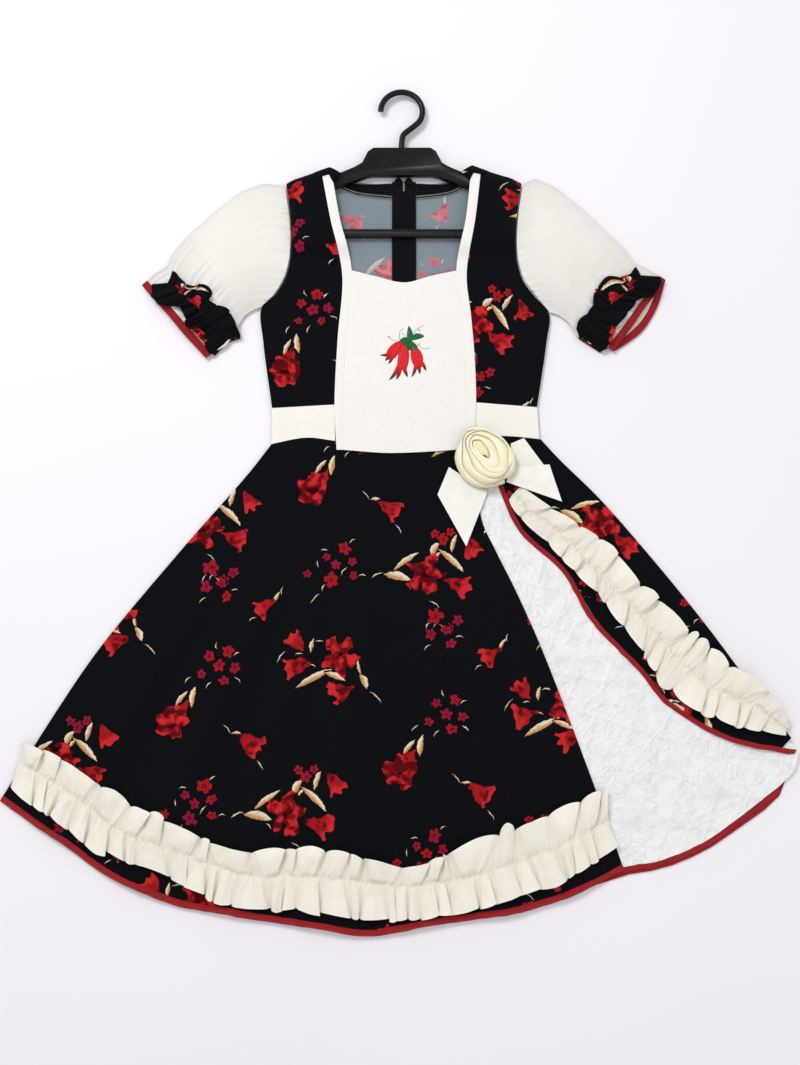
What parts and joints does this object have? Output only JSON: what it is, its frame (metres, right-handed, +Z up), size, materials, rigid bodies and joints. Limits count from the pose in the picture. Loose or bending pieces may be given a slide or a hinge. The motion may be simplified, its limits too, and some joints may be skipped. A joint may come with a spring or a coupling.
{
  "type": "cueca dress on a coat hanger",
  "caption": "Girl's huasa dress for the cueca, laid flat with a moulded hanger inside: printed cotton, cream bib, puff sleeves, ruffled slit skirt over lace, and a fabric rose.",
  "frame": {"origin": "middle of the laid-out dress and hanger, on the surface that it lies on", "axes": "+X across the dress to the looker's right, +Y from the hem up to the hanger's hook, +Z up off the surface"},
  "size_m": [0.921, 1.0362, 0.0273],
  "materials": {
    "printed_cotton": "smooth black cotton with a scattered print of red flowers and tan leaves, soft sheen",
    "print_wrong_side": "grey-blue wrong side of the printed cotton, flowers showing through in dull pink",
    "cream_cotton": "fine plain-weave cream cotton, matt",
    "cream_ruffle": "slightly warmer cream cotton, gathered and crisp",
    "rose_satin": "pale yellow-cream satin, soft gloss",
    "red_bias": "red satin bias binding with a low sheen",
    "white_lace": "white tone-on-tone embroidered cotton with raised flowers",
    "black_facing": "plain black cotton, matt",
    "black_plastic": "moulded black plastic with a satin gloss"
  },
  "bodies": {
    "root": {"skirt_back": "printed_cotton", "skirt_back_binding": "red_bias", "skirt_front_left": "printed_cotton", "skirt_front_right": "printed_cotton", "hem_binding": "red_bias", "slit_binding": "red_bias", "underskirt_panel": "white_lace", "underskirt_binding": "red_bias", "ruffle_hem": "cream_ruffle", "ruffle_slit": "cream_ruffle", "bodice_back_left": "print_wrong_side", "bodice_back_right": "print_wrong_side", "neck_facing_left": "black_facing", "neck_facing_right": "black_facing", "zip_placket": "black_facing", "bodice_front_left": "printed_cotton", "bodice_front_right": "printed_cotton", "bib_panel": "cream_cotton", "strap_left": "cream_cotton", "strap_right": "cream_cotton", "waistband_left": "cream_cotton", "waistband_right": "cream_cotton", "sleeve_left": "cream_cotton", "sleeve_right": "cream_cotton", "sleeve_frill_left": "printed_cotton", "sleeve_frill_right": "printed_cotton", "cuff_binding_left": "red_bias", "cuff_binding_right": "red_bias", "rose": "rose_satin", "rose_tail": "rose_satin", "rose_leaf_upper": "rose_satin", "rose_leaf_lower": "rose_satin", "hanger_hook": "black_plastic", "hanger_body": "black_plastic", "hanger_bar": "black_plastic"}
  },
  "joints": []
}
